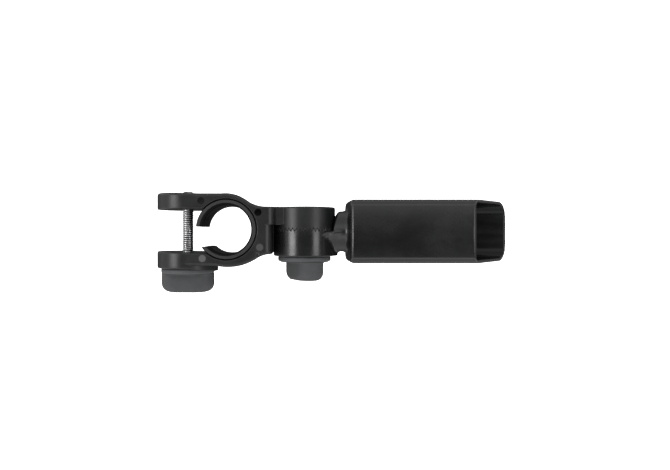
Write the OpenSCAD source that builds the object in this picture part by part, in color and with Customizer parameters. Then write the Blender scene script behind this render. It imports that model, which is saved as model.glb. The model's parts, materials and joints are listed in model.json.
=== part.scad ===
// Clamp-on rod holder: a C-shaped leg clamp, a toothed tilting knuckle and an open cup for a rod butt.
// The origin is the centre of the leg bore. +Z runs along the leg, +X along the arm towards the cup.
// Both clamping screws run along Y, with their knobs on the -Y side.

/* [Leg clamp] */
// Diameter that the reducer grips
leg_d = 25.2; // [25:0.1:25.8]
// Diameter of the clamp's own bore, for a thicker leg
bore_d = 31.5; // [31:0.1:32]
// Depth of the clamp along the leg
clamp_depth = 32; // [30:1:34]
// Outer radius of the clamp's ring
ring_r = 18.7; // [18.2:0.1:19]
// Distance from the bore's axis to the clamping screw
screw_x = 22.1; // [21.8:0.1:23]
// Top face of the upper ear
ear_top = 18.4; // [18:0.1:19]
// Inner face of the upper ear
jaw_top = 10.4; // [10:0.1:11.5]
// Inner face of the lower ear
jaw_bottom = 11.85; // [11:0.05:12.2]
// Underside of the lower ear
ear_bottom = 20.3; // [20:0.1:21]

/* [Knuckle] */
// Distance from the bore's axis to the tilting axis
knuckle_x = 40; // [39:0.5:42]
// Radius of both hubs
hub_r = 16.4; // [16:0.1:16.6]
// Top face of the upper hub
hub_top = 11.7; // [11:0.1:12]
// Underside of the lower hub
hub_bottom = 13.95; // [13.5:0.05:14.5]
// Number of locking teeth
teeth = 48; // [24:24:48]
// Height of a tooth at the rim of the hub
tooth_h = 1.8; // [1.2:0.1:2]

/* [Rod cup] */
// Outer face of the cup's back plate
cup_x = 63; // [62.5:0.5:66]
// Width and height of the cup
cup_side = 32.8; // [31:0.1:34]
// Outer corner radius of the cup
cup_corner = 6.5; // [5:0.5:8]
// Wall thickness of the cup
cup_wall = 1.6; // [1.4:0.1:2.5]
// Where the short wall ends
mouth_near_x = 126.2; // [120:0.1:130]
// Where the long wall ends
mouth_far_x = 154; // [145:0.1:160]
// Radius of the neck between the knuckle and the cup
neck_r = 10.75; // [9:0.25:11]

/* [Knobs] */
// Radius of the knob's round flange
flange_r = 14.2; // [13:0.1:14.3]
// Thickness of the flange
flange_h = 2.8; // [2:0.1:3]
// Height of the whole knob
knob_h = 12.8; // [12:0.1:14]
// Thickness of the knob's wing
wing_w = 14; // [13.5:0.1:15]
// Turn of the knuckle's knob from lying along the arm
knuckle_knob_turn = -66; // [-90:1:90]

/* [Hidden] */
$fn = 96;
eps = 0.01;

// M6 hardware
screw_r = 2.95;
screw_pitch = 1;
thread_depth = 0.55;
crest_low = 0.8;
crest_high = 0.1;
root_high = 0.35;
nut_bore_r = 3.0;
nut_flats = 10;
nut_h = 5;
head_h = 4;
screw_hole_r = 3.3;
washer_r = 6;
washer_h = 1.6;
seat_gap = 0.05;
clamp_screw_l = 45;
clamp_thread_l = 41;
clamp_tip_stand = 1.8;
knuckle_screw_l = 30;
knuckle_thread_l = 26;
knuckle_tip_sink = 0.6;

// Clamp outline
half_depth = clamp_depth / 2;
ear_r = half_depth;
ear_rise = 0.3;
top_blend_r = 16;
belly_r = 26.9;
belly_x = 0.8;
belly_y = 7.7;
bottom_blend_r = 12;
arm_bottom = 12.7;
web_x = 23.8;
arm_half = 12.3;
notch_top = 2.4;
notch_r = 17;
lip_r = 14.7;
lip_drop = 1.6;

// Reducer
reducer_r = bore_d / 2 - 0.1;
reducer_flare = 0.8;
flare_depth = 1.2;
reducer_gap_top = 1.4;
reducer_gap_bottom = 8.9;

// Knuckle
tooth_mid = -0.05;
tooth_gap = 0.12;
tooth_inner_r = 8.5;
tooth_root = tooth_mid + tooth_h / 2 + 0.15;
spring_r = 5.3;
spring_wire = 1.1;
spring_top = 2.4;
spring_bottom = -8;
spring_room = 0.3;
nut_sink = 0.5;

// Cup and neck
cup_y = -1;
back_plate = 2.6;
back_round = 2;
neck_fillet = 2;
neck_clear_r = 17.5;
shelf = tooth_mid - tooth_h / 2 - 0.3;
hub_level = tooth_mid - tooth_gap - tooth_h / 2 - 0.15;
flank_angle = 19.6;
flank_low = 9.5;
flank_low_x = 54.4;
flank_end_x = 60;

// Knobs
knob_core_l = 21;
knob_core_w = 9;
knob_boss_r = 6.3;
knob_skin = 2.2;
wing_corner = 4.5;
wing_l = 2 * flange_r - 0.4;

// Places children drawn along Z so that their Z axis points to +Y, at the given X
module along_y(x) {
    translate([x, 0, 0]) rotate([-90, 0, 0]) children();
}

// A cylinder along Y between two heights
module post(x, low, high, r) {
    along_y(x) translate([0, 0, low]) cylinder(r = r, h = high - low);
}

// A box between two corners
module block(low, high) {
    translate(low) cube(high - low);
}

// Hexagon prism along Y between two heights, measured across its flats
module hex_post(x, low, high, flats) {
    along_y(x) translate([0, 0, low]) cylinder(d = flats / cos(30), h = high - low, $fn = 6);
}

// Area between a straight edge at y = edge and two circles that it blends into:
// one of radius r0 about (x0, y0), the other the blend's own, of radius r
function blend_x(x0, y0, r0, edge, r) = x0 + sqrt(pow(r0 + r, 2) - pow(edge + r - y0, 2));

module blend(x0, y0, r0, edge, r) {
    cx = blend_x(x0, y0, r0, edge, r);
    tangent = [x0, y0] + ([cx, edge + r] - [x0, y0]) * r0 / (r0 + r);
    difference() {
        polygon([[x0, edge], [cx, edge], tangent, [x0, y0 + r0 * 0.8]]);
        translate([cx, edge + r]) circle(r = r);
    }
}

module ring_outline() {
    circle(r = ring_r);
    blend(0, 0, ring_r, hub_top, top_blend_r);
    intersection() {
        translate([belly_x, belly_y]) circle(r = belly_r);
        translate([-screw_x, -ear_bottom]) square([screw_x + 16, ear_bottom]);
    }
    mirror([0, 1, 0]) blend(belly_x, -belly_y, belly_r, arm_bottom, bottom_blend_r);
    translate([0, -arm_bottom]) square([web_x, arm_bottom + hub_top]);
}

module ears() {
    post(-screw_x, jaw_top, ear_top + ear_rise, ear_r);
    block([-screw_x, jaw_top, -half_depth], [0, ear_top, half_depth]);
    post(-screw_x, -ear_bottom, -jaw_bottom, ear_r);
    block([-screw_x, -ear_top, -half_depth], [0, -jaw_bottom, half_depth]);
    // A low lip shields the ring side of the knob's flange
    intersection() {
        difference() {
            post(-screw_x, -ear_bottom - lip_drop, -ear_bottom + 1, ear_r);
            post(-screw_x, -ear_bottom - lip_drop - 1, -ear_bottom + 2, lip_r);
        }
        translate([0, 0, -half_depth]) linear_extrude(clamp_depth) polygon([
            [-screw_x + 4, -ear_bottom], [-screw_x + ear_r + 1, -ear_bottom - lip_drop],
            [-screw_x + ear_r + 1, -ear_bottom + 1], [-screw_x + 4, -ear_bottom + 1]
        ]);
    }
}

// The toothed surface: every ridge and valley points at the tilting axis.
// side is 1 for the solid above it and -1 for the solid below it.
module tooth_fan(side) {
    rim = hub_r + 3;
    rise = tooth_h / 2 * rim / hub_r;
    back = side * 3;
    count = teeth * 2;
    zigzag = [for (i = [0:count - 1])
        [rim * cos(i * 360 / count), rim * sin(i * 360 / count), (i % 2 == 0 ? rise : -rise)]];
    flat_rim = [for (p = zigzag) [p[0], p[1], back]];
    faces_up = [for (i = [0:count - 1]) let (j = (i + 1) % count) each [
        [0, i + 1, j + 1],
        [j + 1, i + 1, count + j + 1],
        [count + j + 1, i + 1, count + i + 1],
        [count + i + 1, 2 * count + 1, count + j + 1]
    ]];
    polyhedron(
        points = concat([[0, 0, 0]], zigzag, flat_rim, [[0, 0, back]]),
        faces = side > 0 ? faces_up : [for (f = faces_up) [f[2], f[1], f[0]]]
    );
}

module tooth_ring(side, mid) {
    along_y(knuckle_x) intersection() {
        translate([0, 0, mid]) tooth_fan(side);
        difference() {
            translate([0, 0, mid - 2.5]) cylinder(r = hub_r, h = 5);
            translate([0, 0, mid - 3]) cylinder(r = tooth_inner_r, h = 6);
        }
    }
}

module clamp_body() {
    color("#242526") difference() {
        union() {
            difference() {
                union() {
                    translate([0, 0, -half_depth]) linear_extrude(clamp_depth) ring_outline();
                    ears();
                    // The arm's neck, which the hub runs into
                    block([web_x - 1, notch_top - 1, -arm_half], [knuckle_x, hub_top, arm_half]);
                }
                // Room for the lower hub and the neck as the cup tilts
                post(knuckle_x, -ear_bottom, notch_top, notch_r);
            }
            post(knuckle_x, tooth_root, hub_top, hub_r);
            tooth_ring(1, tooth_mid);
        }
        translate([0, 0, -half_depth - 1]) cylinder(d = bore_d, h = clamp_depth + 2);
        block([-screw_x - ear_r - 1, -jaw_bottom, -half_depth - 1], [0, jaw_top, half_depth + 1]);
        // Clamping screw: clearance hole, nut pocket, washer seat
        post(-screw_x, -ear_bottom - 1, ear_top + 1, screw_hole_r);
        hex_post(-screw_x, ear_top - nut_sink - nut_h, ear_top + 1, nut_flats + 0.1);
        post(-screw_x, -ear_bottom - 3, -ear_bottom + washer_h, washer_r + 0.3);
        // Knuckle: screw hole, nut pocket, spring pocket
        post(knuckle_x, -5, hub_top + 1, screw_hole_r);
        hex_post(knuckle_x, hub_top - nut_sink - nut_h, hub_top + 1, nut_flats + 0.1);
        post(knuckle_x, -5, spring_top + eps, spring_r + spring_room);
    }
}

module leg_reducer() {
    land_r = leg_d / 2;
    color("#1d1e1f") difference() {
        rotate_extrude() polygon([
            [land_r, -half_depth + flare_depth], [land_r + reducer_flare, -half_depth],
            [reducer_r, -half_depth], [reducer_r, half_depth],
            [land_r + reducer_flare, half_depth], [land_r, half_depth - flare_depth]
        ]);
        block([-bore_d, -reducer_gap_bottom, -half_depth - 1], [0, reducer_gap_top, half_depth + 1]);
    }
}

module nut(x, low) {
    color("#9a9c9e") difference() {
        hex_post(x, low, low + nut_h, nut_flats);
        post(x, low - 1, low + nut_h + 1, nut_bore_r);
    }
}

module clamp_nut() {
    nut(-screw_x, ear_top - nut_sink - nut_h);
}

module knuckle_nut() {
    nut(knuckle_x, hub_top - nut_sink - nut_h);
}

module washer(x, seat) {
    color("#a2a4a6") difference() {
        post(x, seat, seat + washer_h, washer_r);
        post(x, seat - 1, seat + washer_h + 1, screw_hole_r);
    }
}

module clamp_washer() {
    washer(-screw_x, -ear_bottom - seat_gap);
}

module knuckle_washer() {
    washer(knuckle_x, -hub_bottom - seat_gap);
}

// A hex-headed screw whose thread is drawn as rings, from its tip down by length
module screw(x, tip, length, threaded) {
    head = tip - length;
    root_r = screw_r - thread_depth;
    turns = floor(threaded / screw_pitch);
    color("#a8aaac") {
        hex_post(x, head - head_h, head, nut_flats);
        along_y(x) rotate_extrude() polygon(concat(
            [[0, head - eps], [screw_r, head - eps]],
            [for (i = [turns:-1:1]) each [
                [screw_r, tip - i * screw_pitch - crest_high],
                [root_r, tip - i * screw_pitch + root_high],
                [screw_r, tip - i * screw_pitch + crest_low]
            ]],
            [[root_r, tip], [0, tip]]
        ));
    }
}

module clamp_screw() {
    screw(-screw_x, ear_top + clamp_tip_stand, clamp_screw_l, clamp_thread_l);
}

module knuckle_screw() {
    screw(knuckle_x, hub_top - knuckle_tip_sink, knuckle_screw_l, knuckle_thread_l);
}

// Stadium-ended wing along the local X axis, with rounded lower corners when seen from its broad side
module wing(length, width, low, high, corner) {
    intersection() {
        translate([0, 0, low]) linear_extrude(high - low) union() {
            square([length - width, width], center = true);
            for (side = [-1, 1]) translate([side * (length - width) / 2, 0]) circle(d = width);
        }
        rotate([90, 0, 0]) translate([0, 0, -width]) linear_extrude(2 * width) union() {
            translate([-length / 2, low + corner]) square([length, high - low - corner]);
            translate([-length / 2 + corner, low]) square([length - 2 * corner, high - low]);
            for (side = [-1, 1]) translate([side * (length / 2 - corner), low + corner]) circle(r = corner);
        }
    }
}

module knob_core(x, seat, turn, head) {
    along_y(x) rotate([0, 0, turn]) difference() {
        union() {
            translate([0, 0, seat - flange_h]) cylinder(r = flange_r, h = flange_h);
            wing(knob_core_l, knob_core_w, seat - knob_h + knob_skin, seat - flange_h + eps, 2);
            translate([0, 0, seat - knob_h + knob_skin]) cylinder(r = knob_boss_r, h = knob_h - knob_skin - 1);
        }
        translate([0, 0, head - eps]) cylinder(r = screw_r, h = 40);
        rotate([0, 0, -turn]) translate([0, 0, head - head_h])
            cylinder(d = nut_flats / cos(30), h = head_h, $fn = 6);
    }
}

module knob_grip(x, seat, turn) {
    along_y(x) rotate([0, 0, turn]) difference() {
        wing(wing_l, wing_w, seat - knob_h, seat - flange_h, wing_corner);
        wing(knob_core_l, knob_core_w, seat - knob_h + knob_skin, seat, 2);
        translate([0, 0, seat - knob_h + knob_skin]) cylinder(r = knob_boss_r, h = knob_h);
    }
}

module clamp_knob() {
    color("#4a4b4d") knob_core(-screw_x, -ear_bottom - seat_gap, 0, ear_top + clamp_tip_stand - clamp_screw_l);
}

module clamp_knob_grip() {
    color("#505153") knob_grip(-screw_x, -ear_bottom - seat_gap, 0);
}

module knuckle_knob() {
    color("#4a4b4d") knob_core(
        knuckle_x, -hub_bottom - seat_gap, knuckle_knob_turn, hub_top - knuckle_tip_sink - knuckle_screw_l
    );
}

module knuckle_knob_grip() {
    color("#505153") knob_grip(knuckle_x, -hub_bottom - seat_gap, knuckle_knob_turn);
}

module knuckle_spring() {
    color("#a8aaac") difference() {
        post(knuckle_x, spring_bottom, spring_top, spring_r);
        post(knuckle_x, spring_bottom - 1, spring_top + 1, spring_r - spring_wire);
    }
}

module rounded_square(side, corner) {
    square([side - 2 * corner, side], center = true);
    square([side, side - 2 * corner], center = true);
    for (sx = [-1, 1], sy = [-1, 1])
        translate([sx, sy] * (side / 2 - corner)) circle(r = corner);
}

// A rounded square bar along X between two places
module cup_bar(from_x, to_x, side, corner) {
    translate([from_x, cup_y, 0]) rotate([90, 0, 90]) linear_extrude(to_x - from_x)
        rounded_square(side, corner);
}

// Side view of the cup's block, with its back corners rounded
module round_backed(length, side, r) {
    translate([r, -side / 2]) square([length - r, side]);
    translate([0, -side / 2 + r]) square([length, side - 2 * r]);
    for (way = [-1, 1]) translate([r, way * (side / 2 - r)]) circle(r = r);
}

// The cup's block, rounded to the back plate all round
module cup_block() {
    length = mouth_far_x + 1 - cup_x;
    intersection() {
        cup_bar(cup_x, mouth_far_x + 1, cup_side, cup_corner);
        translate([cup_x, cup_y, -cup_side]) linear_extrude(2 * cup_side)
            round_backed(length, cup_side, back_round);
        translate([cup_x, cup_y + cup_side, 0]) rotate([90, 0, 0]) linear_extrude(2 * cup_side)
            round_backed(length, cup_side, back_round);
    }
}

// The round neck, with a hollow fillet where it meets the back plate
module neck() {
    translate([0, cup_y, 0]) rotate([0, 90, 0]) {
        translate([0, 0, knuckle_x]) cylinder(r = neck_r, h = cup_x - knuckle_x + 1);
        rotate_extrude() difference() {
            translate([neck_r - 1, cup_x - neck_fillet]) square([neck_fillet + 1, neck_fillet + 1]);
            translate([neck_r + neck_fillet, cup_x - neck_fillet]) circle(r = neck_fillet);
        }
    }
}

// Flanks between the lower hub and the neck. Seen along Y they run straight from where they touch the hub,
// and seen along Z they are lost where the neck curves under.
module flanks() {
    touch_x = knuckle_x + hub_r * sin(flank_angle);
    touch_z = hub_r * cos(flank_angle);
    end_z = touch_z - (flank_end_x - touch_x) * tan(flank_angle);
    intersection() {
        along_y(0) translate([0, 0, -flank_low]) linear_extrude(hub_level + flank_low) polygon([
            [knuckle_x, touch_z], [touch_x, touch_z], [flank_end_x, end_z],
            [flank_end_x, -end_z], [touch_x, -touch_z], [knuckle_x, -touch_z]
        ]);
        translate([0, 0, -half_depth]) linear_extrude(clamp_depth) polygon([
            [touch_x, hub_level], [flank_end_x, hub_level], [flank_end_x, -flank_low], [flank_low_x, -flank_low]
        ]);
    }
}

module rod_cup() {
    mouth_slope = atan2(mouth_far_x - mouth_near_x, cup_side);
    color("#1b1c1d") union() {
        difference() {
            cup_block();
            cup_bar(cup_x + back_plate, mouth_far_x + 2, cup_side - 2 * cup_wall, cup_corner - cup_wall);
            // The mouth is cut at a slant: the wall on the +Z side is the short one
            translate([(mouth_near_x + mouth_far_x) / 2, cup_y, 0]) rotate([0, -mouth_slope, 0])
                translate([0, -cup_side, -2 * cup_side]) cube([2 * cup_side, 2 * cup_side, 4 * cup_side]);
        }
        difference() {
            union() {
                difference() {
                    neck();
                    // The neck stands clear of the upper hub
                    post(knuckle_x, shelf, 20, neck_clear_r);
                }
                flanks();
                post(knuckle_x, -hub_bottom, hub_level, hub_r);
                tooth_ring(-1, tooth_mid - tooth_gap);
            }
            post(knuckle_x, -hub_bottom - 1, 5, screw_hole_r);
            post(knuckle_x, -hub_bottom - 1, -hub_bottom + washer_h, washer_r + 0.3);
            post(knuckle_x, spring_bottom - eps, 5, spring_r + spring_room);
        }
    }
}

clamp_body();
leg_reducer();
clamp_nut();
clamp_washer();
clamp_screw();
clamp_knob();
clamp_knob_grip();
knuckle_nut();
knuckle_spring();
knuckle_washer();
knuckle_screw();
knuckle_knob();
knuckle_knob_grip();
rod_cup();
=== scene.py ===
"""The looks of a clamp-on rod holder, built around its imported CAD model.

The moulded pieces are described as distance fields in millimetres, whose joins and edges have real
radii, and each field's zero surface becomes a mesh. Washers, screws and the spring are swept directly.
"""

import json
import math

import bmesh
import bpy
import numpy as np
from mathutils import Matrix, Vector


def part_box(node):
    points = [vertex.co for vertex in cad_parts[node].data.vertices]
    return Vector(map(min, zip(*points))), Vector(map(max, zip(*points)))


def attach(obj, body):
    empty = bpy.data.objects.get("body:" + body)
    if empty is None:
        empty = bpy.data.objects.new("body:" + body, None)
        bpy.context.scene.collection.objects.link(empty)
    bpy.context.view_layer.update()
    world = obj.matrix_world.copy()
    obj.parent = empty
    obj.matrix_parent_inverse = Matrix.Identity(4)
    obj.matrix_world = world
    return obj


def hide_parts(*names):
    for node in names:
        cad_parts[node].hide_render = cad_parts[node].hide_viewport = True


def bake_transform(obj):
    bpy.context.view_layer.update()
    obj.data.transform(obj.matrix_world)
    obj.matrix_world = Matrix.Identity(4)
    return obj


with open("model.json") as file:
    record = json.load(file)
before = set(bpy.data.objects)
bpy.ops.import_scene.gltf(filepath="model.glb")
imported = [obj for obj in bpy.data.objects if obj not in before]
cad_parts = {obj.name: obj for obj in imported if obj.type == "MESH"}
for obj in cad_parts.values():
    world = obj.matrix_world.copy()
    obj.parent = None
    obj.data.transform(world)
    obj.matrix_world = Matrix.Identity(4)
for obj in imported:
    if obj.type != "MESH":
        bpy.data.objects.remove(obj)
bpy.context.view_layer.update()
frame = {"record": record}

MM = 0.001
# The grid that the moulded pieces are meshed on, in millimetres
CELL = 0.34
KNOB_CELL = CELL * 0.9
NUT_CELL = 0.22


# ---------------------------------------------------------------- sizes, in millimetres, from the frame

def box_mm(node):
    """Lowest and highest corner of a CAD node, in millimetres."""
    low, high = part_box(node)
    return np.array(low) / MM, np.array(high) / MM


def middle(node, axis):
    """The middle of a CAD node along one axis."""
    low, high = box_mm(node)
    return float(low[axis] + high[axis]) / 2


X, Y, Z = 0, 1, 2
# How far the nuts lie below the plastic's top, and the clearance round what lies in the plastic
NUT_SINK = 0.5
SEAT_GAP = 0.05
POCKET_ROOM = 0.3
NUT_ROOM = 0.1

SCREW_X = middle("clamp_washer", X)
KNUCKLE_X = middle("knuckle_washer", X)
REDUCER_HIGH = box_mm("leg_reducer")[1]
HALF_DEPTH = float(REDUCER_HIGH[Z])
REDUCER_R = float(REDUCER_HIGH[X])
BORE_R = REDUCER_R + 0.02
LAND_R = frame["record"]["mounts"][0]["dims"]["r_mm"]
CLAMP_LOW, CLAMP_HIGH = box_mm("clamp_body")
CUP_LOW, CUP_HIGH = box_mm("rod_cup")
HUB_R = float(CLAMP_HIGH[X]) - KNUCKLE_X
EAR_TOP = float(box_mm("clamp_nut")[1][Y]) + NUT_SINK
CLAMP_SEAT = float(box_mm("clamp_washer")[0][Y])
KNUCKLE_SEAT = float(box_mm("knuckle_washer")[0][Y])

# Edge radii that several pieces share
SHARP = 0.2
FINE = 0.3
SOFT = 0.4
# Past the part, for cuts that run right through it
FAR = 60

# Clamp: outline
RING_R = 18.5
RING_X = -0.5
BELLY_R = 26.9
BELLY_X = 0.8
BELLY_Y = 7.7
BELLY_END_X = 16
UPPER_WEB_R = 16
LOWER_WEB_R = 12
EAR_R = HALF_DEPTH
EAR_LENGTH = 20
EAR_RISE = 0.03
EAR_RISE_X = -14
BODY_EDGE = 1.4
JAW_TOP = 10.4
JAW_BOTTOM = -11.85
JAW_SLANT = 0.022
JAW_SLANT_X = 20
# Clamp: arm, upper hub, and the lip round the knob
HUB_TOP = 11.7
HUB_EDGE = 0.8
HUB_START_X = 12
ARM_BOTTOM = -12.7
ARM_HALF = 12.3
WEB_X = 23.8
WEB_ROUND = 5.0
NOTCH_TOP = 2.4
NOTCH_R = 17.0
LIP_R = 14.7
LIP_SLOPE = 0.12
LIP_START = 3
LIP_HEIGHT = 2
# Round marks of the ejector pins on the clamp's front: place, grey and roughness. The grey paints shade
# into the upper two and light into the lower two.
MARKS = [
    (-12.7, 14.5, 0.002, 0.25),
    (16.2, 8.65, 0.0005, 0.15),
    (-12.0, -14.7, 0.075, 0.4),
    (17.05, -9.05, 0.045, 0.4),
]
MARK_R = 1.85
MARK_DEPTH = 0.03

# Reducer: rims, the channel behind the front one, and its mouth
RIM_START = HALF_DEPTH - 1.9
RIM_END = HALF_DEPTH - 1.4
RIM_OUTER_STEP = 0.6
RIM_INNER_STEP = 0.8
CHANNEL_LOW = 9.0
CHANNEL_HIGH = 13.2
CHANNEL_DEPTH = 0.75
MOUTH_BOTTOM = -8.9
MOUTH_TOP = 1.4

# Knuckle
TEETH = 48
TOOTH_H = 1.8
TOOTH_MID = -0.05
TOOTH_GAP = 0.12
TOOTH_INNER_R = 8.5
TOOTH_ROOM = 0.15
HUB_LEVEL = TOOTH_MID - TOOTH_GAP - TOOTH_H / 2 - TOOTH_ROOM
FLANK_TOP = math.sin(math.radians(19.6))
FLANK_GROWTH = 0.068
FLANK_STEEPEST = 0.92
FLANK_EDGE = 2.2
SPRING_R = 5.3
SPRING_WIRE = 1.1
SPRING_TURNS = 6

# Cup
CUP_X = 63.0
CUP_Y = (CUP_LOW[Y] + CUP_HIGH[Y]) / 2
CUP_HALF = float(CUP_HIGH[Y] - CUP_LOW[Y]) / 2
CUP_CORNER = 3.2
CUP_FAR_CORNER = 7.6
CUP_SWELL = 0.9
CUP_WALL = 1.6
CUP_FLOOR = 2.6
CUP_END_EDGE = 2.2
MOUTH_NEAR_X = 125.8
MOUTH_FAR_X = float(CUP_HIGH[X])
NECK_R = 10.75
NECK_FILLET = 3.0
NECK_CLEAR_R = 17.5
NECK_CLEAR_EDGE = 1.8

# Knobs
FLANGE_R = 14.05
FLANGE_H = 2.8
KNOB_H = 12.8
STEM_L = 21
STEM_W = 9
STEM_COVER = 2.2
WING_L = 28.0
WING_W = 14.0
WING_CORNER = 1.8
WING_END_CORNER = 2.9
WING_RISE = 4
SKIRT_H = 0.35
SKIRT_INSET = 1.1
GRIP_ROOM = 7.5
KNUCKLE_KNOB_TURN = math.radians(-66)

# Steel
SCREW_R = 3.0
SCREW_FOOT = 4
TIP_CHAMFER = 1.0
HOLE_R = 3.3
HOLE_BREAK = 0.15
WASHER_R = 6.0
WASHER_H = 1.6
NUT_FLATS = 10.0
NUT_H = 5.0
PITCH = 1.0
THREAD_DEPTH = 0.52


# ---------------------------------------------------------------- distance fields

def either(a, b, r=0.0):
    """Union of two fields, with a fillet of radius r where they meet."""
    if np.isscalar(r) and r == 0:
        return np.minimum(a, b)
    return np.maximum(r, np.minimum(a, b)) - np.hypot(np.maximum(r - a, 0), np.maximum(r - b, 0))


def both(a, b, r=0.0):
    """Intersection of two fields, with the edge where they meet rounded to radius r."""
    if np.isscalar(r) and r == 0:
        return np.maximum(a, b)
    return np.minimum(-r, np.maximum(a, b)) + np.hypot(np.maximum(a + r, 0), np.maximum(b + r, 0))


def cut(a, b, r=0.0):
    """Field a without field b, with the new edge rounded to radius r."""
    return both(a, -b, r)


def slab(w, low, high):
    """Distance to the space between two levels."""
    return np.abs(w - (low + high) / 2) - (high - low) / 2


def box2(u, v, u_low, u_high, v_low, v_high):
    """Distance to a rectangle."""
    a = slab(u, u_low, u_high)
    b = slab(v, v_low, v_high)
    return np.minimum(np.maximum(a, b), 0) + np.hypot(np.maximum(a, 0), np.maximum(b, 0))


def rounded_square(u, v, half, corner):
    """Distance to a square of that half width with round corners."""
    a = np.abs(u) - (half - corner)
    b = np.abs(v) - (half - corner)
    return np.minimum(np.maximum(a, b), 0) + np.hypot(np.maximum(a, 0), np.maximum(b, 0)) - corner


def hexagon(u, v, flats):
    """Distance to a hexagon measured across its flats, with a corner on the u axis."""
    a = np.abs(v)
    b = np.abs(u) * math.cos(math.radians(30)) + np.abs(v) * 0.5
    return np.maximum(a, b) - flats / 2


def post(x, y, z, centre_x, low, high, r, edge=0.0):
    """A cylinder along Y with rounded rims."""
    return both(np.hypot(x - centre_x, z) - r, slab(y, low, high), edge)


def ramp(w, low, high):
    """0 below low, 1 above high, straight between."""
    return np.clip((w - low) / (high - low), 0, 1)


def crown(x, y, z):
    """Signed height above the knuckle's toothed surface, whose waves die out at the tilting axis."""
    turn = np.arctan2(z, x - KNUCKLE_X) * TEETH / (2 * math.pi)
    wave = 1 - 4 * np.abs((turn + 0.5) % 1 - 0.5)
    r = np.hypot(x - KNUCKLE_X, z)
    slope = TOOTH_H * TEETH / (HUB_R * math.pi)
    return (y - TOOTH_MID - TOOTH_H / 2 * wave * r / HUB_R) / math.hypot(1, slope)


# ---------------------------------------------------------------- the moulded pieces as fields

def web_blend(x, y, centre_x, centre_y, r, edge, blend_r):
    """The web between a circle and a level edge, hollowed by a circle that touches both."""
    high = edge + blend_r
    far = centre_x + math.sqrt((r + blend_r) ** 2 - (high - centre_y) ** 2)
    touch = centre_x + (far - centre_x) * r / (r + blend_r)
    hollow = blend_r - np.hypot(x - far, y - high)
    return np.maximum(hollow, np.maximum(slab(x, touch, far), slab(y, centre_y, high)))


def clamp_outline(x, y):
    """The clamp seen from the front, without its bore and jaw: ring, arm, belly, webs and ears."""
    ring = np.hypot(x - RING_X, y) - RING_R
    arm = box2(x, y, 0, WEB_X, ARM_BOTTOM, HUB_TOP)
    belly_circle = np.hypot(x - BELLY_X, y - BELLY_Y) - BELLY_R
    belly = both(belly_circle, box2(x, y, SCREW_X, BELLY_END_X, CLAMP_LOW[Y], 0))
    outline = np.minimum(np.minimum(ring, arm), belly)
    upper_web = web_blend(x, y, RING_X, 0, RING_R, HUB_TOP, UPPER_WEB_R)
    lower_web = web_blend(x, -y, BELLY_X, -BELLY_Y, BELLY_R, -ARM_BOTTOM, LOWER_WEB_R)
    outline = np.minimum(np.minimum(outline, upper_web), lower_web)
    rise = EAR_RISE * np.maximum(EAR_RISE_X - x, 0)
    upper_ear = box2(x, y - rise, SCREW_X - EAR_LENGTH, 0, 0, EAR_TOP)
    lower_ear = box2(x, y, SCREW_X - EAR_LENGTH, 0, -EAR_TOP, 0)
    return np.minimum(outline, np.minimum(upper_ear, lower_ear))


def upper_hub(x, y, z):
    """The clamp's half of the knuckle and the waisted arm that carries it."""
    arm_plan = both(np.abs(z) - ARM_HALF, slab(x, WEB_X - 6, KNUCKLE_X))
    hub_plan = np.minimum(np.hypot(x - KNUCKLE_X, z) - HUB_R, arm_plan)
    shoulder = both(np.abs(z) - HALF_DEPTH, slab(x, 0, WEB_X + 1.5), WEB_ROUND)
    hub = both(both(np.minimum(shoulder, hub_plan), y - HUB_TOP, HUB_EDGE), NOTCH_TOP - y, FINE)
    return np.maximum(hub, HUB_START_X - x)


def knob_lip(x, y, z):
    """The disc under the lower ear, and the slanting lip that hangs from it beside the knob."""
    radius = np.hypot(x - SCREW_X, z)
    disc = post(x, y, z, SCREW_X, CLAMP_SEAT + SEAT_GAP, JAW_BOTTOM + 4, EAR_R, HUB_EDGE)
    # The last factor makes this a distance across the slope
    lip_line = (y - (CLAMP_SEAT - LIP_SLOPE * (x - SCREW_X - LIP_START))) * -0.99
    lip = both(radius - EAR_R, lip_line, 0.35)
    lip = cut(lip, radius - LIP_R, FINE)
    lip = both(lip, np.maximum(y - CLAMP_SEAT - LIP_HEIGHT, SCREW_X + 4 - x))
    return np.minimum(disc, lip)


def mark_dishes(body, x, y, z):
    """The body with its round marks pressed in, each a shallow piece of a ball."""
    ball_r = (MARK_R ** 2 + MARK_DEPTH ** 2) / (2 * MARK_DEPTH)
    above = z - HALF_DEPTH - ball_r + MARK_DEPTH
    for mark_x, mark_y, _, _ in MARKS:
        body = cut(body, np.sqrt((x - mark_x) ** 2 + (y - mark_y) ** 2 + above ** 2) - ball_r)
    return body


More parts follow.
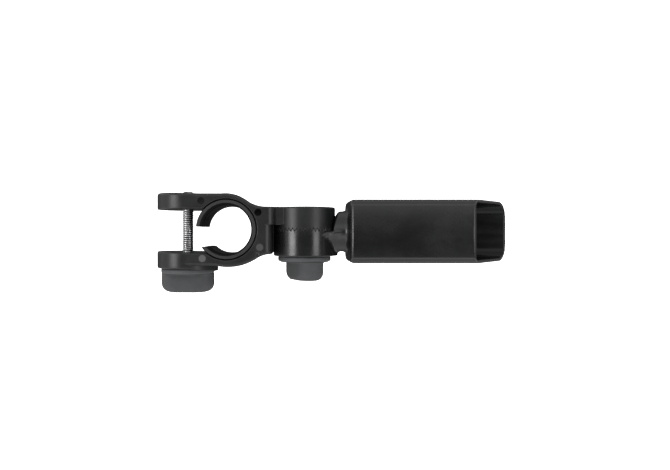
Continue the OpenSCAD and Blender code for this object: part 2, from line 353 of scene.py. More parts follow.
def clamp_field(x, y, z):
    """Clamp ring, ears, arm and upper hub."""
    plan = np.where(x < SCREW_X, np.hypot(x - SCREW_X, z) - EAR_R, np.abs(z) - HALF_DEPTH)
    plan = both(plan, x - WEB_X, WEB_ROUND)
    body = both(clamp_outline(x, y), plan, BODY_EDGE)
    body = np.minimum(body, upper_hub(x, y, z))
    body = cut(body, post(x, y, z, KNUCKLE_X, -FAR, NOTCH_TOP, NOTCH_R), SOFT)
    body = np.minimum(body, knob_lip(x, y, z))

    jaw = box2(x, y, -FAR, 0, JAW_BOTTOM - JAW_SLANT * (x + JAW_SLANT_X), JAW_TOP)
    body = cut(body, jaw, 0.7)
    body = cut(body, np.hypot(x, y) - BORE_R, SOFT)

    toothed = post(x, y, z, KNUCKLE_X, -4, NOTCH_TOP + 4, HUB_R)
    toothed = np.maximum(toothed, -crown(x, y, z))
    tooth_top = y - TOOTH_MID - TOOTH_H / 2 - TOOTH_ROOM
    inner = np.maximum(np.hypot(x - KNUCKLE_X, z) - TOOTH_INNER_R, tooth_top)
    body = np.minimum(body, np.maximum(toothed, -inner))

    for centre, top in ((SCREW_X, EAR_TOP), (KNUCKLE_X, HUB_TOP)):
        body = cut(body, np.maximum(np.hypot(x - centre, z) - HOLE_R, -y - 25), SHARP)
        pocket_floor = top - NUT_H - NUT_SINK - y
        pocket = np.maximum(hexagon(x - centre, z, NUT_FLATS + NUT_ROOM), pocket_floor)
        body = cut(body, pocket, 0.25)
    washer_top = CLAMP_SEAT + WASHER_H + SEAT_GAP
    washer_pocket = post(x, y, z, SCREW_X, CLAMP_SEAT - 9, washer_top, WASHER_R + POCKET_ROOM)
    body = cut(body, washer_pocket, SHARP)
    spring_pocket = post(x, y, z, KNUCKLE_X, -9, NOTCH_TOP, SPRING_R + POCKET_ROOM)
    return mark_dishes(cut(body, spring_pocket, SHARP), x, y, z)


def reducer_field(x, y, z):
    """The split sleeve, stepped at its inner and outer rims, with a mouth on the jaw's side."""
    radius = np.hypot(x, y)
    rim = ramp(np.abs(z), RIM_START, RIM_END)
    sleeve = both(radius - REDUCER_R + RIM_OUTER_STEP * rim, np.abs(z) - HALF_DEPTH, FINE)
    channel = both(radius - LAND_R - CHANNEL_DEPTH, slab(z, CHANNEL_LOW, CHANNEL_HIGH))
    sleeve = cut(cut(sleeve, radius - LAND_R - RIM_INNER_STEP * rim, SHARP), channel, SHARP)
    mouth = box2(x, y, -FAR, 0, MOUTH_BOTTOM, MOUTH_TOP)
    return cut(sleeve, mouth, FINE)


def flank_field(x, y, z):
    """The lower hub drawn out towards the neck: at each height, the hub's circle and its two tangents.

    The tangents close in steadily going down, so that the flanks are lost where the neck curves under.
    """
    lean = np.clip(FLANK_TOP + FLANK_GROWTH * (HUB_LEVEL - y), FLANK_TOP, FLANK_STEEPEST)
    upright = np.sqrt(1 - lean ** 2)
    along = x - KNUCKLE_X
    across = np.abs(z)
    tangent = along * lean + across * upright - HUB_R
    past_touch = along * upright - across * lean > 0
    flank = np.where(past_touch, tangent, np.hypot(along, z) - HUB_R)
    flank = both(both(flank, y - HUB_LEVEL, FLANK_EDGE), KNUCKLE_SEAT + SEAT_GAP - y, 0.5)
    return np.maximum(flank, x - CUP_X + 3)


def cup_field(x, y, z):
    """Cup, neck and lower hub."""
    # The walls swell a little towards their middles
    swell = 1 - CUP_SWELL / CUP_HALF * ((y - CUP_Y) / CUP_HALF) ** 2
    corner = CUP_CORNER + (CUP_FAR_CORNER - CUP_CORNER) * ramp(-z, -CUP_HALF, CUP_HALF)
    across = rounded_square(y - CUP_Y, z / swell, CUP_HALF, corner)
    tube = both(across, slab(x, CUP_X, MOUTH_FAR_X + 20), CUP_END_EDGE)
    neck_line = np.hypot(y - CUP_Y, z) - NECK_R
    neck = both(neck_line, slab(x, KNUCKLE_X, CUP_X + 2))
    joined = either(tube, neck, NECK_FILLET)
    clearance = post(x, y, z, KNUCKLE_X, TOOTH_MID - TOOTH_H / 2 - 0.3, FAR, NECK_CLEAR_R)
    joined = cut(joined, clearance, NECK_CLEAR_EDGE)

    joined = either(joined, flank_field(x, y, z), 1.5)
    hub = post(x, y, z, KNUCKLE_X, KNUCKLE_SEAT + SEAT_GAP, 3, HUB_R, 0.7)
    hub = np.maximum(hub, crown(x, y + TOOTH_GAP, z))
    inner = np.maximum(np.hypot(x - KNUCKLE_X, z) - TOOTH_INNER_R, HUB_LEVEL - y)
    hub = np.maximum(hub, -inner)
    joined = np.minimum(joined, hub)

    inside = rounded_square(y - CUP_Y, z, CUP_HALF - CUP_WALL, corner - CUP_WALL)
    inside = both(inside, CUP_X + CUP_FLOOR - x, 1.5)
    shell = cut(joined, inside)
    run = MOUTH_FAR_X - MOUTH_NEAR_X
    side = 2 * CUP_HALF
    mouth = ((x - MOUTH_NEAR_X) * side + (z - CUP_HALF) * run) / math.hypot(run, side)
    shell = both(shell, mouth, SOFT)

    shell = cut(shell, np.hypot(x - KNUCKLE_X, z) - HOLE_R, SHARP)
    washer_top = KNUCKLE_SEAT + WASHER_H + SEAT_GAP
    washer_pocket = post(x, y, z, KNUCKLE_X, -40, washer_top, WASHER_R + POCKET_ROOM)
    spring_pocket = post(x, y, z, KNUCKLE_X, -8, 9, SPRING_R + POCKET_ROOM)
    return cut(cut(shell, washer_pocket, SHARP), spring_pocket, SHARP)


def knob_frame(x, z, centre_x, turn):
    """Coordinates along and across a knob's wing."""
    u = (x - centre_x) * math.cos(turn) - z * math.sin(turn)
    v = (x - centre_x) * math.sin(turn) + z * math.cos(turn)
    return u, v


def stadium(u, v, length, width):
    """Distance to a bar with round ends."""
    return np.hypot(np.maximum(np.abs(u) - (length - width) / 2, 0), v) - width / 2


def knob_core(centre_x, seat, turn):
    """Field of a knob's round flange and the stem that its grip is moulded over."""
    def field(x, y, z):
        u, v = knob_frame(x, z, centre_x, turn)
        flange = post(x, y, z, centre_x, seat - FLANGE_H, seat, FLANGE_R, 1.0)
        stem_height = slab(y, seat - KNOB_H + STEM_COVER, seat - 1)
        stem = np.maximum(stadium(u, v, STEM_L, STEM_W), stem_height)
        core = np.minimum(flange, stem)
        return cut(core, np.hypot(x - centre_x, z) - SCREW_R, SHARP)
    return field


def knob_grip(centre_x, seat, turn):
    """Field of a wing-shaped grip that flows out into the flange above it."""
    def field(x, y, z):
        u, v = knob_frame(x, z, centre_x, turn)
        top = seat - FLANGE_H
        plan = stadium(u, v, WING_L, WING_W)
        corner = WING_CORNER + WING_END_CORNER * ramp(np.abs(u), 5, 10)
        wing = both(plan, slab(y, seat - KNOB_H, top + WING_RISE), corner)
        skirt_height = slab(y, top - SKIRT_H, top + WING_RISE)
        skirt = both(np.hypot(x - centre_x, z) - FLANGE_R + SKIRT_INSET, skirt_height, FINE)
        wing = either(wing, skirt, 1.0)
        return np.maximum(wing, y - top)
    return field


def nut_field(centre_x, low):
    """Field of a hexagon nut with chamfered corners."""
    def field(x, y, z):
        radius = np.hypot(x - centre_x, z)
        prism = both(hexagon(x - centre_x, z, NUT_FLATS), slab(y, low, low + NUT_H), 0.1)
        centre = low + NUT_H / 2
        # A cone at each end, which takes the corners off
        cone = radius + (np.abs(y - centre) - NUT_H / 2) * 1.7 - NUT_FLATS / 2 - 0.1
        return cut(np.maximum(prism, cone * 0.5), radius - SCREW_R, 0.45)
    return field


# ---------------------------------------------------------------- meshes

def gradient(field, points):
    """The field and its slope at each point."""
    step = 0.02
    value = field(*points.T)
    slope = np.empty_like(points)
    for axis in range(3):
        move = np.zeros(3)
        move[axis] = step
        slope[:, axis] = (field(*(points + move).T) - field(*(points - move).T)) / (2 * step)
    return value, slope


def settle(field, points, reach, rounds=5):
    """Moves points onto the field's zero surface, each by no more than reach along an axis."""
    start = points.copy()
    for _ in range(rounds):
        value, slope = gradient(field, points)
        size = np.maximum((slope ** 2).sum(1), 0.2)
        points = points - slope * (value / size)[:, None]
        points = np.clip(points, start - reach, start + reach)
    return points


def surface(field, low, high, cell):
    """Points and four-sided faces of the field's zero surface inside a box."""
    # The grid runs past the box on every side, so that the surface closes inside it
    axes = [np.arange(a - 1.6 * cell, b + 2.6 * cell, cell) for a, b in zip(low, high)]
    grid = np.meshgrid(*[a.astype(np.float32) for a in axes], indexing="ij", sparse=True)
    inside = np.broadcast_to(field(*grid) < 0, [len(a) for a in axes])
    size = [len(a) - 1 for a in axes]
    count = np.zeros(size, np.uint8)
    for i in (0, 1):
        for j in (0, 1):
            for k in (0, 1):
                count += inside[i:i + size[0], j:j + size[1], k:k + size[2]]
    mixed = (count > 0) & (count < 8)
    number = np.full(size, -1, np.int64)
    number[mixed] = np.arange(mixed.sum())
    places = np.argwhere(mixed)
    points = np.stack([axes[a][places[:, a]] + cell / 2 for a in range(3)], 1)
    faces = []
    for axis in range(3):
        a, b = (axis + 1) % 3, (axis + 2) % 3
        near = [slice(1, -1)] * 3
        far = [slice(1, -1)] * 3
        near[axis] = slice(0, -1)
        far[axis] = slice(1, None)
        near_in = inside[tuple(near)]
        crossing = np.argwhere(near_in != inside[tuple(far)])
        outward = near_in[tuple(crossing.T)]
        corners = []
        for da, db in ((0, 0), (1, 0), (1, 1), (0, 1)):
            at = crossing.copy()
            at[:, a] += da
            at[:, b] += db
            corners.append(number[tuple(at.T)])
        quads = np.stack(corners, 1)
        quads[~outward] = quads[~outward][:, ::-1]
        faces.append(quads)
    return settle(field, points, 0.95 * cell), np.concatenate(faces)


def mesh_object(name, points, *groups):
    """A mesh object from points in millimetres and arrays of faces, one array for each face size."""
    corners = np.concatenate([faces.ravel() for faces in groups])
    sides = np.concatenate([np.full(len(faces), faces.shape[1]) for faces in groups])
    mesh = bpy.data.meshes.new(name)
    mesh.vertices.add(len(points))
    mesh.vertices.foreach_set("co", (points * MM).astype(np.float32).ravel())
    mesh.loops.add(len(corners))
    mesh.loops.foreach_set("vertex_index", corners.astype(np.int32))
    mesh.polygons.add(len(sides))
    mesh.polygons.foreach_set("loop_start", (np.cumsum(sides) - sides).astype(np.int32))
    mesh.update(calc_edges=True)
    mesh.validate()
    piece = bpy.data.objects.new(name, mesh)
    bpy.context.scene.collection.objects.link(piece)
    return piece


def fan(hub, ring):
    """Triangles from a middle point to a ring of points, counterclockwise seen from outside."""
    return np.stack([np.full(len(ring), hub), ring, np.roll(ring, -1)], 1)


def thin_out(piece, keep):
    """Joins small faces where the surface is flat, leaving about that share of them."""
    modifier = piece.modifiers.new("thin", "DECIMATE")
    modifier.ratio = keep
    evaluated = piece.evaluated_get(bpy.context.evaluated_depsgraph_get())
    thinned = bpy.data.meshes.new_from_object(evaluated)
    piece.modifiers.clear()
    piece.data = thinned


def corners_mm(mesh):
    """The mesh's points, in millimetres."""
    flat = np.empty(len(mesh.vertices) * 3, np.float32)
    mesh.vertices.foreach_get("co", flat)
    return flat.reshape(-1, 3).astype(float) / MM


def clean(mesh):
    """Merges points that settled on the same spot, and drops faces left without area."""
    work = bmesh.new()
    work.from_mesh(mesh)
    bmesh.ops.remove_doubles(work, verts=work.verts, dist=0.003 * MM)
    bmesh.ops.dissolve_degenerate(work, edges=work.edges, dist=0.002 * MM)
    work.to_mesh(mesh)
    work.free()


def moulded(name, field, node, cell, keep=0.3, room=0.5):
    """A moulded piece: the field's surface round a CAD node's box, with the field's own normals.

    Its faces are thinned to about the share to keep, and its points are laid back on the field.
    """
    low, high = box_mm(node)
    points, faces = surface(field, low - room, high + room, cell)
    piece = mesh_object(name, points, faces)
    thin_out(piece, keep)
    mesh = piece.data
    points = settle(field, corners_mm(mesh), 0.3 * cell, rounds=3)
    mesh.vertices.foreach_set("co", (points * MM).astype(np.float32).ravel())
    clean(mesh)
    _, slope = gradient(field, corners_mm(mesh))
    normals = slope / np.maximum(np.linalg.norm(slope, axis=1), 1e-6)[:, None]
    mesh.shade_smooth()
    mesh.normals_split_custom_set_from_vertices(normals.tolist())
    mesh.update()
    return piece


def skin(rows, around):
    """Four-sided faces between rings of points, facing out where the rings climb along Y."""
    i, j = np.meshgrid(np.arange(rows - 1), np.arange(around), indexing="ij")
    j2 = (j + 1) % around
    corners = [i * around + j, (i + 1) * around + j, (i + 1) * around + j2, i * around + j2]
    return np.stack(corners, -1).reshape(-1, 4)


def lathe_y(name, centre_x, profile, around=64):
    """A turned piece about an axis along Y.

    profile is a closed list of (radius, height) that climbs on its outer side.
    """
    profile = np.array(profile, float)
    rows = len(profile)
    turn = np.linspace(0, 2 * math.pi, around, endpoint=False)
    x = centre_x + profile[:, :1] * np.cos(turn)
    z = profile[:, :1] * np.sin(turn)
    y = np.repeat(profile[:, 1:], around, 1)
    points = np.stack([x, y, z], -1).reshape(-1, 3)
    faces = skin(rows + 1, around) % (rows * around)
    return mesh_object(name, points, faces)


def screw_mesh(name, centre_x, tip, foot):
    """A right-handed M6 thread from its foot to a chamfered tip."""
    around, steps = 40, 16
    rows = int((tip - foot) / PITCH * steps) + 1
    turn = np.linspace(0, 2 * math.pi, around, endpoint=False)
    height = np.linspace(foot, tip, rows)[:, None] + 0 * turn
    phase = (height / PITCH + turn / (2 * math.pi)) % 1
    # 1 over a quarter of the pitch, at the crest, and 0 only at the root
    ridge = np.clip(1.35 - 2.8 * np.abs(phase - 0.5), 0, 1)
    radius = SCREW_R - THREAD_DEPTH * (1 - ridge)
    chamfer = SCREW_R - TIP_CHAMFER + (tip - height) * 1.2
    radius = np.minimum(radius, np.maximum(chamfer, 0.1))
    points = np.stack([centre_x + radius * np.cos(turn), height, radius * np.sin(turn)], -1)
    points = np.vstack([points.reshape(-1, 3), [[centre_x, foot, 0], [centre_x, tip, 0]]])
    ring = np.arange(around)
    foot_end = fan(rows * around, ring)
    tip_end = fan(rows * around + 1, (rows - 1) * around + ring[::-1])
    piece = mesh_object(name, points, skin(rows, around), np.vstack([foot_end, tip_end]))
    root = piece.data.attributes.new("thread_root", "FLOAT", "POINT")
    root.data.foreach_set("value", np.append(1 - ridge, [0, 0]).astype(np.float32))
    piece.data.shade_smooth()
    return piece


def spring_mesh(name, centre_x, low, high):
    """A coil spring whose end turns lie flat."""
    steps, around = int(SPRING_TURNS * 28), 12
    flat_turns = 0.9
    wire = SPRING_WIRE
    radius = SPRING_R - wire / 2
    t = np.linspace(0, 1, steps)
    rise = np.clip((t * SPRING_TURNS - flat_turns) / (SPRING_TURNS - 2 * flat_turns), 0, 1)
    height = low + wire / 2 + rise * (high - low - wire)
    angle = t * SPRING_TURNS * 2 * math.pi
    phi = np.linspace(0, 2 * math.pi, around, endpoint=False)
    out = radius + wire / 2 * np.cos(phi)[None, :]
    y = height[:, None] + wire / 2 * np.sin(phi)[None, :]
    points = np.stack([centre_x + out * np.cos(angle)[:, None], y, out * np.sin(angle)[:, None]], -1)
    points = np.vstack([points.reshape(-1, 3), points[0].mean(0), points[-1].mean(0)])
    coil = skin(steps, around)[:, [0, 3, 2, 1]]
    ring = np.arange(around)
    first_end = fan(steps * around, ring[::-1])
    last_end = fan(steps * around + 1, (steps - 1) * around + ring)
    piece = mesh_object(name, points, coil, np.vstack([first_end, last_end]))
    piece.data.shade_smooth()
    return piece


# ---------------------------------------------------------------- materials

def material(name, colour, roughness, metallic=0.0):
    """A new node material, with its node tree, its shader and the place in metres as a socket."""
    made = bpy.data.materials.new(name)
    made.use_nodes = True
    tree = made.node_tree
    shader = tree.nodes["Principled BSDF"]
    shader.inputs["Base Color"].default_value = (*colour, 1)
    shader.inputs["Roughness"].default_value = roughness
    shader.inputs["Metallic"].default_value = metallic
    place = tree.nodes.new("ShaderNodeTexCoord").outputs["Object"]
    return made, tree, shader, place


def noise(tree, place, size_mm, detail=3.0, stretch=None):
    """Noise whose blotches are about size_mm across."""
    node = tree.nodes.new("ShaderNodeTexNoise")
    node.inputs["Scale"].default_value = 1000.0 / size_mm
    node.inputs["Detail"].default_value = detail
    if stretch:
        shape = tree.nodes.new("ShaderNodeMapping")
        shape.inputs["Scale"].default_value = stretch
        tree.links.new(place, shape.inputs["Vector"])
        place = shape.outputs["Vector"]
    tree.links.new(place, node.inputs["Vector"])
    return node.outputs["Fac"]


def remap(tree, value, low, high, out_low, out_high):
    """The value carried from one span to another, held at its ends."""
    node = tree.nodes.new("ShaderNodeMapRange")
    node.inputs["From Min"].default_value = low
    node.inputs["From Max"].default_value = high
    node.inputs["To Min"].default_value = out_low
    node.inputs["To Max"].default_value = out_high
    tree.links.new(value, node.inputs["Value"])
    return node.outputs["Result"]


def ease(tree, value, low, high):
    """0 below low, 1 above high, easing between them."""
    node = tree.nodes.new("ShaderNodeMapRange")
    node.interpolation_type = "SMOOTHSTEP"
    node.inputs["From Min"].default_value = low
    node.inputs["From Max"].default_value = high
    tree.links.new(value, node.inputs["Value"])
    return node.outputs["Result"]


def combine(tree, operation, a, b):
    """A Math node of two sockets or numbers."""
    node = tree.nodes.new("ShaderNodeMath")
    node.operation = operation
    for socket, value in zip(node.inputs, (a, b)):
        if isinstance(value, float):
            socket.default_value = value
        else:
            tree.links.new(value, socket)
    return node.outputs["Value"]


def tint(tree, value, dark, light):
    """A colour between dark and light, following value. Each is a colour or a socket."""
    mix = tree.nodes.new("ShaderNodeMix")
    mix.data_type = "RGBA"
    tree.links.new(value, mix.inputs["Factor"])
    for socket, colour in ((mix.inputs[6], dark), (mix.inputs[7], light)):
        if isinstance(colour, tuple):
            socket.default_value = (*colour, 1)
        else:
            tree.links.new(colour, socket)
    return mix.outputs[2]


def paint(tree, value, dark, light, shader):
    """Gives the shader a base colour between dark and light, following value."""
    tree.links.new(tint(tree, value, dark, light), shader.inputs["Base Color"])


def bump(tree, shader, height, depth_mm, strength=1.0):
    """Surface relief of about depth_mm from a height socket."""
    node = tree.nodes.new("ShaderNodeBump")
    node.inputs["Distance"].default_value = depth_mm * MM
    node.inputs["Strength"].default_value = strength
    tree.links.new(height, node.inputs["Height"])
    tree.links.new(node.outputs["Normal"], shader.inputs["Normal"])


def flat_place(tree, place):
    """The place without its height above the front view's middle plane."""
    flat = tree.nodes.new("ShaderNodeVectorMath")
    flat.operation = "MULTIPLY"
    flat.inputs[1].default_value = (1, 1, 0)
    tree.links.new(place, flat.inputs[0])
    return flat.outputs["Vector"]


def spot(tree, place, x_mm, y_mm):
    """1 inside one of the round marks on the front face, 0 elsewhere."""
    away = tree.nodes.new("ShaderNodeVectorMath")
    away.operation = "DISTANCE"
    away.inputs[1].default_value = (x_mm * MM, y_mm * MM, 0)
    tree.links.new(flat_place(tree, place), away.inputs[0])
    height = tree.nodes.new("ShaderNodeSeparateXYZ")
    tree.links.new(place, height.inputs["Vector"])
    outside = ease(tree, away.outputs["Value"], (MARK_R - 0.15) * MM, (MARK_R + 0.1) * MM)
    front = ease(tree, height.outputs["Z"], (HALF_DEPTH - 1) * MM, (HALF_DEPTH - 0.6) * MM)
    return combine(tree, "MULTIPLY", front, combine(tree, "SUBTRACT", 1.0, outside))


def clamp_nylon():
    """Satin glass-filled nylon with a fine grain, and round ejector marks: painted shade in the upper
    two, painted light in the lower two.
    """
    made, tree, shader, place = material("clamp_nylon", (0.006, 0.0062, 0.0064), 0.37)
    cloud = noise(tree, place, 9, 4)
    cloudy = remap(tree, cloud, 0.35, 0.65, 0, 1)
    grey = tint(tree, cloudy, (0.005, 0.0052, 0.0054), (0.007, 0.0072, 0.0075))
    rough = remap(tree, cloud, 0.3, 0.7, 0.33, 0.40)
    # Each mark's grey is painted shade in the upper two and painted light in the lower two.
    for mark_x, mark_y, shade, mark_rough in MARKS:
        inside = spot(tree, place, mark_x, mark_y)
        grey = tint(tree, inside, grey, (shade, shade, shade * 1.02))
        rough = combine(tree, "MULTIPLY", rough, combine(tree, "SUBTRACT", 1.0, inside))
        rough = combine(tree, "ADD", rough, combine(tree, "MULTIPLY", inside, mark_rough))
    tree.links.new(grey, shader.inputs["Base Color"])
    tree.links.new(rough, shader.inputs["Roughness"])
    grain = noise(tree, place, 0.55, 3)
    bump(tree, shader, grain, 0.03, 0.35)
    shader.inputs["Specular IOR Level"].default_value = 0.42
    return made


def reducer_plastic():
    """Matt on its ends, with painted shade on the inner wall: a darker grey with a weaker sheen."""
    made, tree, shader, place = material("reducer_plastic", (0.009, 0.009, 0.0095), 0.5)
    cloud = noise(tree, place, 4, 5)
    end_grey = tint(tree, cloud, (0.007, 0.007, 0.0073), (0.012, 0.0121, 0.0124))
    away = tree.nodes.new("ShaderNodeVectorMath")
    away.operation = "LENGTH"
    tree.links.new(flat_place(tree, place), away.inputs[0])
    # Painted shade: near the bore the grey falls to near black and the sheen weakens.
    outer = ease(tree, away.outputs["Value"], (LAND_R + 0.84) * MM, (LAND_R + 1.0) * MM)
    paint(tree, outer, (0.003, 0.003, 0.0031), end_grey, shader)
    tree.links.new(remap(tree, outer, 0, 1, 0.12, 0.5), shader.inputs["Specular IOR Level"])
    tree.links.new(remap(tree, cloud, 0.3, 0.7, 0.42, 0.58), shader.inputs["Roughness"])
    bump(tree, shader, noise(tree, place, 0.7, 4), 0.05, 0.5)
    return made


def cup_plastic():
    """Semi-gloss black with handling smudges."""
    made, tree, shader, place = material("cup_plastic", (0.0065, 0.0067, 0.007), 0.29)
    smudge = noise(tree, place, 17, 5)
    streak = noise(tree, place, 6, 4, (0.35, 1, 1))
    smudged = remap(tree, smudge, 0.35, 0.65, 0, 1)
    paint(tree, smudged, (0.0048, 0.005, 0.0052), (0.0064, 0.0066, 0.0068), shader)
    smudge_rough = remap(tree, smudge, 0.35, 0.65, 0.235, 0.285)
    rough = combine(tree, "ADD", smudge_rough, remap(tree, streak, 0.35, 0.65, -0.02, 0.02))
    tree.links.new(rough, shader.inputs["Roughness"])
    bump(tree, shader, noise(tree, place, 2.5, 3), 0.03, 0.25)
    return made


def cup_inside_shaded_plastic():
    """The cup's inner walls, glossy from the polished core that they shrank on, and with a weak sheen
    that paints shade into the cavity.
    """
    made, tree, shader, place = material("cup_inside_shaded_plastic", (0.004, 0.004, 0.0042), 0.16)
    scuff = noise(tree, place, 5, 4, (0.2, 1, 1))
    scuffed = remap(tree, scuff, 0.4, 0.7, 0, 1)
    paint(tree, scuffed, (0.0045, 0.0046, 0.0048), (0.0075, 0.0077, 0.008), shader)
    tree.links.new(remap(tree, scuff, 0.3, 0.7, 0.16, 0.24), shader.inputs["Roughness"])
    # Painted shade: this weak sheen darkens the inner walls against the cup's outside.
    shader.inputs["Specular IOR Level"].default_value = 0.15
    return made


def knob_material(name, colour, roughness, specular):
    """Soft-touch grey with a fine matt grain."""
    made, tree, shader, place = material(name, colour, roughness)
    cloud = noise(tree, place, 5, 4)
    dark = tuple(c * 0.9 for c in colour)
    light = tuple(c * 1.12 for c in colour)
    paint(tree, remap(tree, cloud, 0.3, 0.7, 0, 1), dark, light, shader)
    rough = remap(tree, cloud, 0.3, 0.7, roughness - 0.06, roughness + 0.06)
    tree.links.new(rough, shader.inputs["Roughness"])
    bump(tree, shader, noise(tree, place, 0.3, 2), 0.03, 0.5)
    shader.inputs["Specular IOR Level"].default_value = specular
    return made


def steel():
    """Zinc-plated steel with fine turning marks, with painted shade down in the threads."""
    made, tree, shader, place = material("steel", (0.4, 0.4, 0.41), 0.3, 1.0)
    marks = noise(tree, place, 0.5, 4, (1, 6, 1))
    tree.links.new(remap(tree, marks, 0.3, 0.7, 0.2, 0.38), shader.inputs["Roughness"])
    root = tree.nodes.new("ShaderNodeAttribute")
    root.attribute_name = "thread_root"
    # Painted shade: the grey drops to near black towards the thread roots, patchily.
    deep = remap(tree, root.outputs["Fac"], 0, 0.2, 0, 1)
    patchy = remap(tree, noise(tree, place, 2.0), 0.3, 0.7, 0.8, 1)
    thread_shade = combine(tree, "MULTIPLY", deep, patchy)
    paint(tree, thread_shade, (0.85, 0.85, 0.86), (0.05, 0.05, 0.051), shader)
    bump(tree, shader, marks, 0.01, 0.3)
    return made


def finish(piece, made, slot, body, *nodes):
    """Gives a piece its material, the body it rides on, and the nodes it replaces; slot is not used.

    A piece that lies between two bodies is given none, and rides on none.
    """
    piece.data.materials.clear()
    piece.data.materials.append(made)
    if body:
        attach(piece, body)
    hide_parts(*nodes)


# ---------------------------------------------------------------- pieces

def inside_faces(piece):
    """Gives the cup's inner walls their own finish, a copy of the cup's plastic that carries painted
    shade.
    """
    piece.data.materials.append(cup_inside_shaded_plastic())
    half = CUP_HALF - 0.6 * CUP_WALL
    for face in piece.data.polygons:
        centre = face.center / MM
        within = rounded_square(centre.y - CUP_Y, centre.z, half, CUP_CORNER) < 0
        if within and centre.x > CUP_X + CUP_WALL:
            face.material_index = 1


def washer_profile(seat):
    """Outline of a washer's section that starts at the seat, with its corners broken."""
    top = seat + WASHER_H
    inner = HOLE_R + HOLE_BREAK
    return [
        (HOLE_R, seat + HOLE_BREAK), (inner, seat),
        (WASHER_R - SHARP, seat), (WASHER_R, seat + SHARP),
        (WASHER_R, top - SHARP), (WASHER_R - SHARP, top),
        (inner, top), (HOLE_R, top - HOLE_BREAK),
    ]


def build_mouldings():
    """The three black mouldings."""
    piece = moulded("clamp_moulding", clamp_field, "clamp_body", CELL)
    finish(piece, clamp_nylon(), "clamp_nylon", "clamp", "clamp_body")
    piece = moulded("reducer_sleeve", reducer_field, "leg_reducer", CELL)
    finish(piece, reducer_plastic(), "reducer_plastic", "clamp", "leg_reducer")
    piece = moulded("cup_moulding", cup_field, "rod_cup", CELL, 0.2)
    finish(piece, cup_plastic(), "cup_plastic", "cup", "rod_cup")
    inside_faces(piece)


def build_screw_sets(metal):
    """For the clamp and for the knuckle: a two-part knob, a nut, a screw and a washer."""
    core_plastic = knob_material("knob_plastic", (0.056, 0.0575, 0.0595), 0.55, 0.35)
    grip_rubber = knob_material("knob_rubber", (0.051, 0.0523, 0.054), 0.72, 0.3)
    for name, centre_x, seat, turn in (
        ("clamp", SCREW_X, CLAMP_SEAT, 0.0),
        ("knuckle", KNUCKLE_X, KNUCKLE_SEAT, KNUCKLE_KNOB_TURN),
    ):
        turner = name + "_turner"
        field = knob_core(centre_x, seat, turn)
        core = moulded(name + "_knob_flange", field, name + "_knob", KNOB_CELL)
        finish(core, core_plastic, "knob_plastic", turner, name + "_knob")
        field = knob_grip(centre_x, seat, turn)
        grip = moulded(name + "_knob_wing", field, name + "_knob_grip", KNOB_CELL, room=GRIP_ROOM)
        finish(grip, grip_rubber, "knob_rubber", turner, name + "_knob_grip")
        field = nut_field(centre_x, box_mm(name + "_nut")[0][Y])
        nut = moulded(name + "_hex_nut", field, name + "_nut", NUT_CELL)
        finish(nut, metal, "steel", "clamp", name + "_nut")
        tip = float(box_mm(name + "_screw")[1][Y])
        screw = screw_mesh(name + "_threaded_screw", centre_x, tip, seat - SCREW_FOOT)
        finish(screw, metal, "steel", turner, name + "_screw")
        washer = lathe_y(name + "_flat_washer", centre_x, washer_profile(seat))
        finish(washer, metal, "steel", name + "_slider", name + "_washer")


def build_spring(metal):
    """The spring between the hubs, which on the real knuckle stretches as the slider backs away; this
    mesh rides on no body.
    """
    low, high = box_mm("knuckle_spring")
    spring = spring_mesh("knuckle_coil_spring", KNUCKLE_X, low[Y], high[Y])
    finish(spring, metal, "steel", None, "knuckle_spring")
    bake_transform(spring)


# ---------------------------------------------------------------- floor, lights and camera, in metres

FLOOR_SIZE = 9
FLOOR_PLACE = (0.05, 0, -0.22)
BACKDROP_R = 5
STRIP_AIM = (0.03, 0, 0)
STRIP_DISTANCE = 1.0
STRIP_H = 0.26
CAMERA_PLACE = (0.0334, -0.00086, 0.294)
SENSOR = 36.0
# Focal length as a share of the picture's width
FOCAL_SHARE = 550 / 670
# What brings the object to its place in the picture with the camera square to it
CAMERA_SHIFT = (0.0642, -0.0058)


def strip_light(name, angle, width, power):
    """A tall soft strip beside the camera, at that angle from straight above the object."""
    data = bpy.data.lights.new(name, "AREA")
    data.shape = "RECTANGLE"
    data.size = width
    data.size_y = STRIP_H
    data.energy = power
    light = bpy.data.objects.new(name, data)
    bpy.context.scene.collection.objects.link(light)
    angle = math.radians(angle)
    across = STRIP_AIM[0] + STRIP_DISTANCE * math.sin(angle)
    place = Matrix.Translation((across, 0, STRIP_DISTANCE * math.cos(angle)))
    light.matrix_world = place @ Matrix.Rotation(angle, 4, "Y")


def sky_band(tree, lean, start, full, level, fade, gone, drop):
    """Light that rises from start to full as a direction leans over, then drops from fade to gone."""
    risen = combine(tree, "MULTIPLY", ease(tree, lean, start, full), level)
    dropped = combine(tree, "MULTIPLY", ease(tree, lean, fade, gone), drop)
    return combine(tree, "SUBTRACT", risen, dropped)


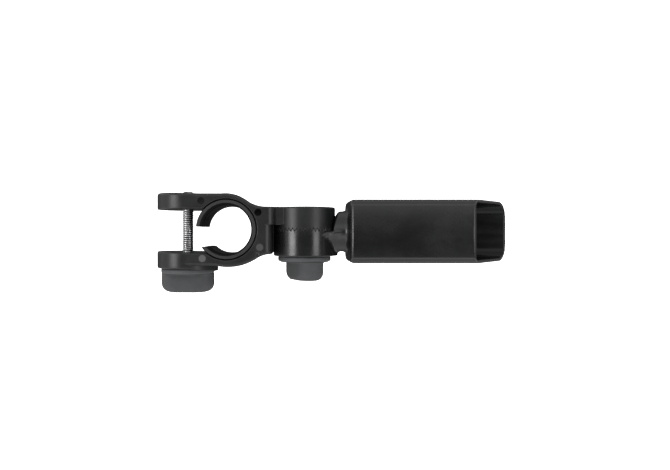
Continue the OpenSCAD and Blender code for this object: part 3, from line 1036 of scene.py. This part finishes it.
def build_world():
    """A white tent, dim at its opening above the object's front and dim under the object."""
    world = bpy.data.worlds.new("studio")
    bpy.context.scene.world = world
    world.use_nodes = True
    tree = world.node_tree
    way = tree.nodes.new("ShaderNodeSeparateXYZ")
    tree.links.new(tree.nodes.new("ShaderNodeTexCoord").outputs["Generated"], way.inputs["Vector"])
    across, up, over = (way.outputs[axis] for axis in ("X", "Y", "Z"))
    left, down, under = (combine(tree, "MULTIPLY", lean, -1.0) for lean in (across, up, over))
    above = sky_band(tree, up, 0.06, 0.32, 1.6, 0.4, 0.75, 0.7)
    below = sky_band(tree, down, 0.23, 0.4, 1.9, 0.5, 0.8, 0.9)
    low = combine(tree, "MULTIPLY", ease(tree, under, -0.5, -0.05), 0.5)
    far_left = combine(tree, "MULTIPLY", ease(tree, left, 0.8, 1.0), 0.8)
    bright = combine(tree, "MAXIMUM", combine(tree, "MAXIMUM", above, below), low)
    bright = combine(tree, "MAXIMUM", bright, far_left)
    lit = combine(tree, "ADD", bright, 0.03)
    upper_half = combine(tree, "MULTIPLY", ease(tree, over, -0.85, -0.2), 0.9)
    glow = combine(tree, "MULTIPLY", lit, combine(tree, "ADD", upper_half, 0.1))
    background = tree.nodes["Background"]
    background.inputs["Strength"].default_value = 1.0
    tree.links.new(glow, background.inputs["Color"])


def stage_piece(name, made):
    """Marks the newest object as floor or backdrop, seen by the camera only.

    Its white would wash out every black face that looks at it.
    """
    piece = bpy.context.object
    piece.name = name
    piece.data.materials.append(made)
    piece.visible_glossy = False
    piece.visible_diffuse = False
    piece.visible_shadow = False


def build_stage():
    """Paper floor, backdrop, tent light, the two strips and plain colours."""
    made, tree, shader, place = material("floor_paper", (0.9, 0.9, 0.9), 0.9)
    paint(tree, noise(tree, place, 60, 3), (0.89, 0.89, 0.89), (0.92, 0.92, 0.92), shader)
    shader.inputs["Emission Color"].default_value = (1, 1, 1, 1)
    shader.inputs["Emission Strength"].default_value = 1.0
    bpy.ops.mesh.primitive_plane_add(size=FLOOR_SIZE, location=FLOOR_PLACE)
    stage_piece("floor", made)
    bpy.ops.mesh.primitive_uv_sphere_add(segments=48, ring_count=24, radius=BACKDROP_R)
    stage_piece("backdrop", made)

    build_world()
    strip_light("left_strip", -46, 0.40, 3.3)
    strip_light("right_strip", 43, 0.36, 1.5)

    view = bpy.context.scene.view_settings
    view.view_transform = "Standard"
    view.look = "None"


def build_camera():
    """A camera straight above the leg's bore, with no tilt."""
    data = bpy.data.cameras.new("camera")
    data.sensor_width = SENSOR
    data.lens = SENSOR * FOCAL_SHARE
    data.shift_x, data.shift_y = CAMERA_SHIFT
    data.clip_start = 0.01
    data.clip_end = 60
    camera = bpy.data.objects.new("camera", data)
    camera.location = CAMERA_PLACE
    bpy.context.scene.collection.objects.link(camera)
    bpy.context.scene.camera = camera


build_camera()
build_stage()
steel_plate = steel()
build_mouldings()
build_screw_sets(steel_plate)
build_spring(steel_plate)
